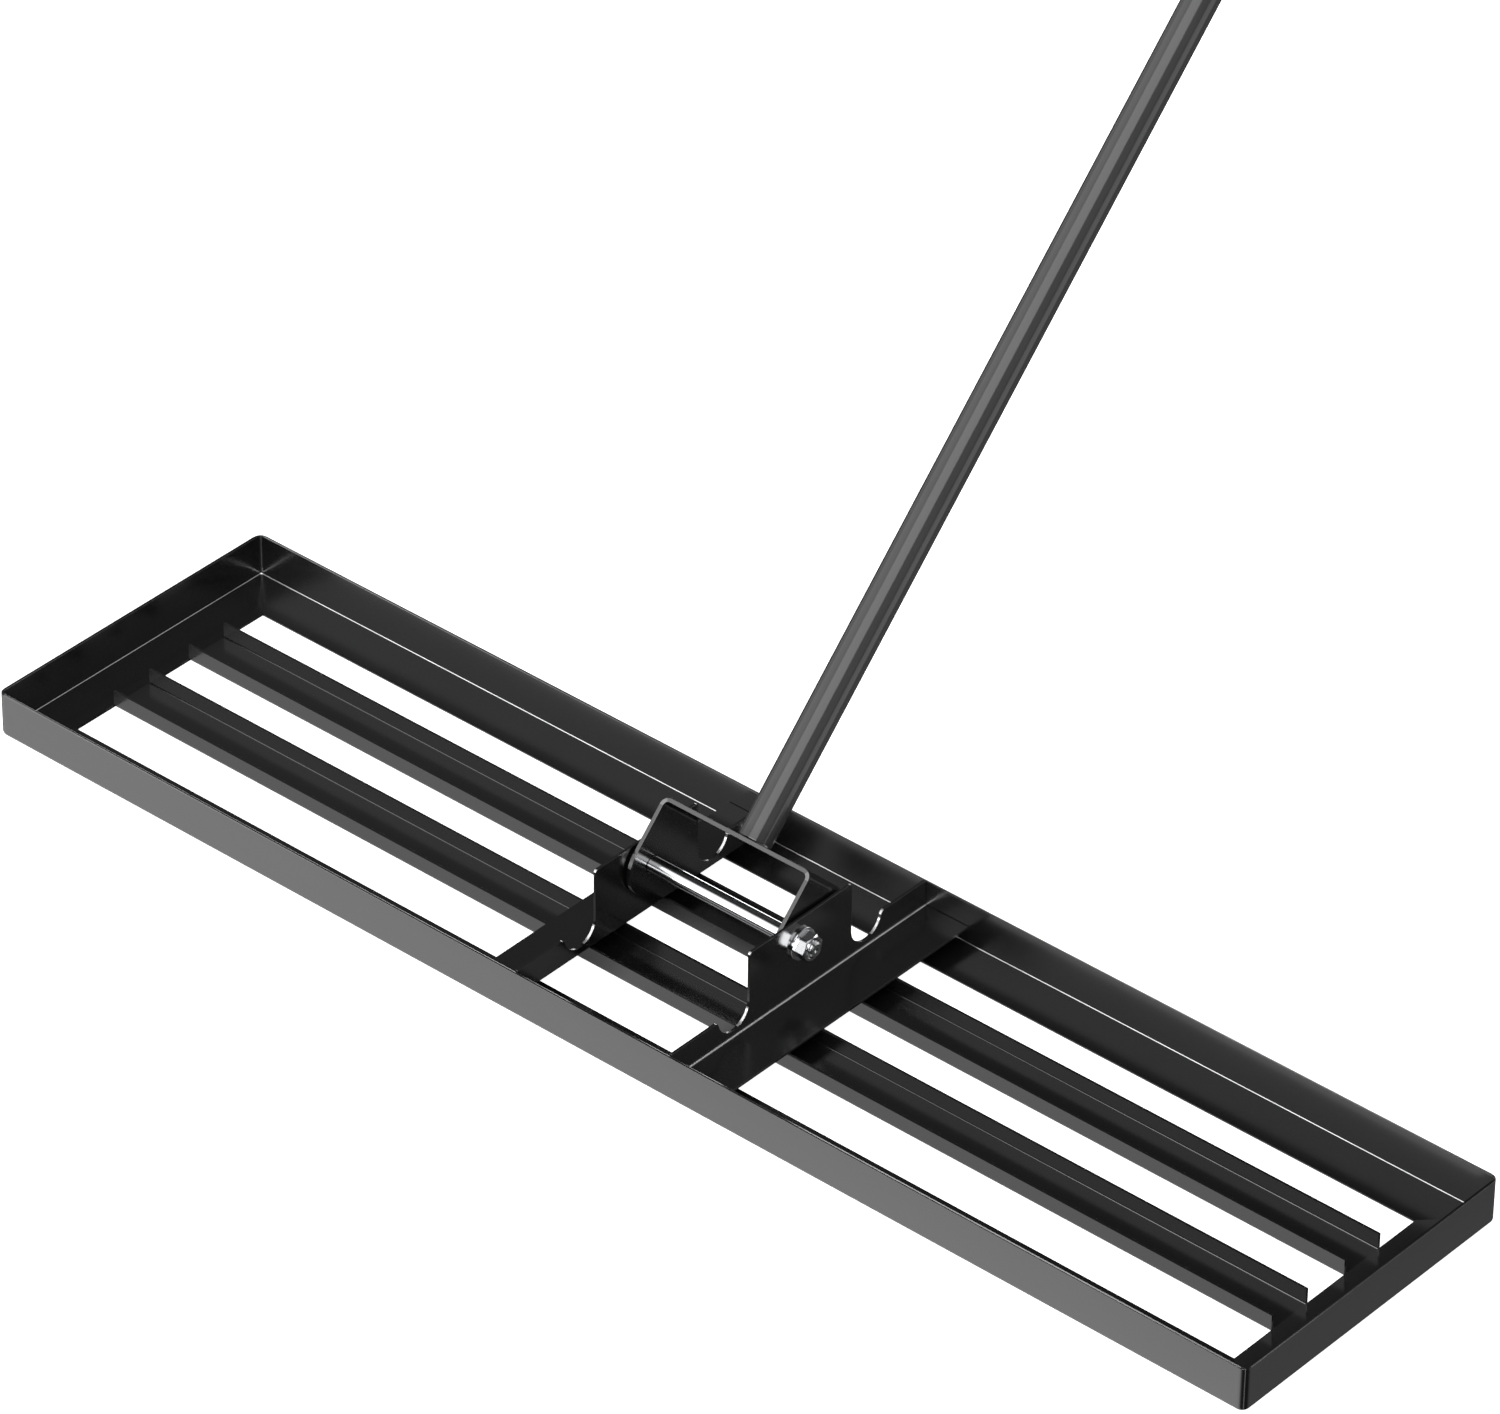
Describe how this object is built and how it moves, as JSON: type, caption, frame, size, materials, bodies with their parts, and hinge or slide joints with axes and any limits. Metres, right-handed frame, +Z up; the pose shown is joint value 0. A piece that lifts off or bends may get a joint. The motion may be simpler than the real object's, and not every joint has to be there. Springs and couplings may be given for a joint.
{
  "type": "lawn leveling rake",
  "caption": "Lawn leveling rake: a shallow open tray of folded black steel strips, dragged by a long tube handle that swings on a bolted yoke.",
  "frame": {"origin": "middle of the front slat's underside, on the ground", "axes": "+X along the tray's long side, to the bolt's nut end; +Y from the front edge to the back edge, where the handle leans at rest; +Z up"},
  "size_m": [1.0668, 1.2253, 1.1656],
  "materials": {
    "tray_coat": "gloss black powder coat",
    "tube_coat": "satin black paint",
    "zinc_plate": "bright zinc plate",
    "rubber": "matte ribbed rubber"
  },
  "bodies": {
    "tray": {"front_rail": "tray_coat", "back_rail": "tray_coat", "right_rail": "tray_coat", "left_rail": "tray_coat", "front_slat": "tray_coat", "rear_slat": "tray_coat", "right_crossmember": "tray_coat", "left_crossmember": "tray_coat", "pivot_bolt": "zinc_plate", "left_washer": "zinc_plate", "right_washer": "zinc_plate", "pivot_nut": "zinc_plate"},
    "handle": {"yoke": "tray_coat", "handle_lower": "tube_coat", "handle_upper": "tube_coat", "coupling_socket": "zinc_plate", "coupling_stud": "zinc_plate", "grip": "rubber"}
  },
  "joints": [
    {"name": "handle_pivot", "type": "hinge", "parent": "tray", "child": "handle", "pos_m": [0, 0.03629, 0.054], "axis": [1, 0, 0], "range_deg": [-46.6, 136]}
  ]
}
